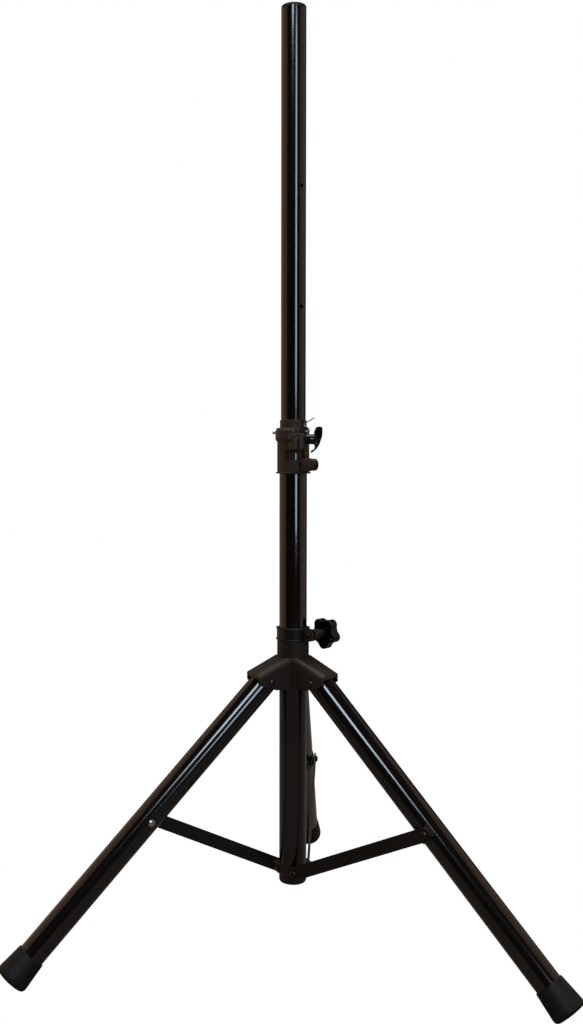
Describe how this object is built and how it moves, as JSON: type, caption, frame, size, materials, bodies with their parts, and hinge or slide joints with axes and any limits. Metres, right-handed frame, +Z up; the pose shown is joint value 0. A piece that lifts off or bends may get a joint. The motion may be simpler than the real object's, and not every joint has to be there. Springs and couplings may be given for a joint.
{
  "type": "tripod loudspeaker stand",
  "caption": "Black tripod loudspeaker stand with a telescoping 35 mm pole, locking pin, wing knob, sliding hub with star knob, folding legs and flat braces.",
  "frame": {"origin": "on the mast's axis, on the floor under the three feet", "axes": "+Z up along the mast and pole; the rear leg goes along +Y, the other two at 120 degrees on each side"},
  "size_m": [0.7436, 0.6502, 1.323],
  "materials": {
    "tube_paint": "gloss",
    "brace_paint": "satin",
    "moulding": "satin",
    "knob_plastic": "gloss",
    "foot_rubber": "matte",
    "bright_steel": "satin",
    "black_steel": "satin"
  },
  "bodies": {
    "mast": {"mast_tube": "tube_paint", "mast_foot": "moulding", "clamp_collar": "moulding", "collar_bush": "moulding", "collar_bolt": "black_steel", "wing_stud": "black_steel", "rear_foot_screw": "black_steel", "left_foot_screw": "black_steel", "right_foot_screw": "black_steel"},
    "pole": {"pole_tube": "tube_paint", "pole_cap": "moulding", "pole_guide": "moulding"},
    "locking_pin": {"locking_pin": "bright_steel", "pin_wire": "bright_steel"},
    "wing_knob": {"wing_knob": "knob_plastic"},
    "hub": {"leg_hub": "moulding", "band_clamp": "black_steel", "band_bolt": "black_steel", "knob_sleeve": "moulding", "rear_leg_bolt": "bright_steel", "left_leg_bolt": "bright_steel", "right_leg_bolt": "bright_steel"},
    "star_knob": {"star_knob": "knob_plastic"},
    "rear_leg": {"rear_leg_tube": "tube_paint", "rear_foot": "foot_rubber", "rear_saddle": "moulding", "rear_brace_bolt": "bright_steel"},
    "rear_brace": {"rear_brace": "brace_paint", "rear_brace_rivet": "black_steel"},
    "left_leg": {"left_leg_tube": "tube_paint", "left_foot": "foot_rubber", "left_saddle": "moulding", "left_brace_bolt": "bright_steel"},
    "left_brace": {"left_brace": "brace_paint", "left_brace_rivet": "black_steel"},
    "right_leg": {"right_leg_tube": "tube_paint", "right_foot": "foot_rubber", "right_saddle": "moulding", "right_brace_bolt": "bright_steel"},
    "right_brace": {"right_brace": "brace_paint", "right_brace_rivet": "black_steel"}
  },
  "joints": [
    {"name": "pole_slide", "type": "slide", "parent": "mast", "child": "pole", "axis": [0, 0, 1], "range_m": [0, 0.2]},
    {"name": "pin_pull", "type": "slide", "parent": "pole", "child": "locking_pin", "axis": [0.6947, -0.7193, 0], "range_m": [0, 0.075]},
    {"name": "wing_knob_turn", "type": "hinge", "parent": "mast", "child": "wing_knob", "pos_m": [0.00803, -0.03221, 0.7215], "axis": [0.9703, 0.2419, 0], "continuous": true},
    {"name": "hub_slide", "type": "slide", "parent": "mast", "child": "hub", "axis": [0, 0, 1], "range_m": [0, 0.1982]},
    {"name": "star_knob_turn", "type": "hinge", "parent": "hub", "child": "star_knob", "pos_m": [0.02561, -0.02001, 0.44553], "axis": [0.6157, 0.788, 0], "continuous": true},
    {"name": "rear_leg_fold", "type": "hinge", "parent": "hub", "child": "rear_leg", "pos_m": [0, 0.043, 0.38153], "axis": [-1, 0, 0], "range_deg": [0, 42.5]},
    {"name": "rear_brace_fold", "type": "hinge", "parent": "mast", "child": "rear_brace", "pos_m": [0, 0.0165, 0.1045], "axis": [1, 0, 0], "range_deg": [0, 54.62]},
    {"name": "left_leg_fold", "type": "hinge", "parent": "hub", "child": "left_leg", "pos_m": [-0.03724, -0.0215, 0.38153], "axis": [0.5, -0.866, 0], "range_deg": [0, 42.5]},
    {"name": "left_brace_fold", "type": "hinge", "parent": "mast", "child": "left_brace", "pos_m": [-0.01429, -0.00825, 0.1045], "axis": [-0.5, 0.866, 0], "range_deg": [0, 54.62]},
    {"name": "right_leg_fold", "type": "hinge", "parent": "hub", "child": "right_leg", "pos_m": [0.03724, -0.0215, 0.38153], "axis": [0.5, 0.866, 0], "range_deg": [0, 42.5]},
    {"name": "right_brace_fold", "type": "hinge", "parent": "mast", "child": "right_brace", "pos_m": [0.01429, -0.00825, 0.1045], "axis": [-0.5, -0.866, 0], "range_deg": [0, 54.62]}
  ],
  "couplings": [
    {"joint": "rear_leg_fold", "follows": "hub_slide", "rad_per_m": 3.7414},
    {"joint": "rear_brace_fold", "follows": "hub_slide", "rad_per_m": 4.8076},
    {"joint": "left_leg_fold", "follows": "hub_slide", "rad_per_m": 3.7414},
    {"joint": "left_brace_fold", "follows": "hub_slide", "rad_per_m": 4.8076},
    {"joint": "right_leg_fold", "follows": "hub_slide", "rad_per_m": 3.7414},
    {"joint": "right_brace_fold", "follows": "hub_slide", "rad_per_m": 4.8076}
  ]
}
